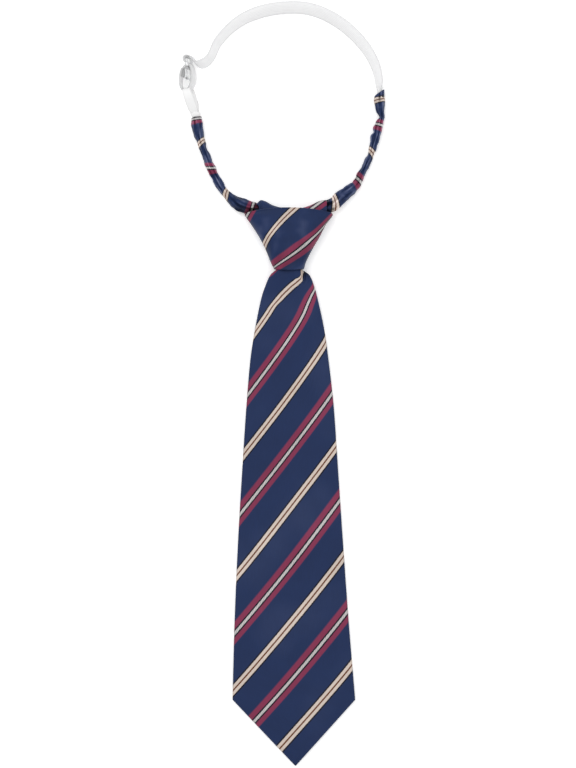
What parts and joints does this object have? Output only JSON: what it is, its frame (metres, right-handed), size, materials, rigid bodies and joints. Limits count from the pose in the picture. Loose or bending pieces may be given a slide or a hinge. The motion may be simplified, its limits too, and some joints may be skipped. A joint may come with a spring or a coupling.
{
  "type": "ready-tied elastic tie",
  "caption": "Ready-tied striped tie with a pointed blade, a tied knot, gathered cloth neckbands and an elastic neck loop with a length slider.",
  "frame": {"origin": "middle of the knot's flat back, on the surface that the tie lies on", "axes": "+Y from the blade's tip to the neck loop, +Z from the back of the tie to its front, +X to the right seen from the front"},
  "size_m": [0.1194, 0.4382, 0.0158],
  "materials": {
    "striped_cloth": "satin twill, navy with burgundy, white and cream diagonal stripes",
    "white_elastic": "ribbed woven elastic",
    "white_ribbon": "smooth woven ribbon",
    "clear_plastic": "clear, glossy"
  },
  "bodies": {
    "root": {"blade": "striped_cloth", "knot_wrap": "striped_cloth", "knot_collar": "striped_cloth", "neckband_left": "striped_cloth", "neckband_right": "striped_cloth", "elastic_strap": "white_elastic", "tab": "white_ribbon", "slider": "clear_plastic"}
  },
  "joints": []
}
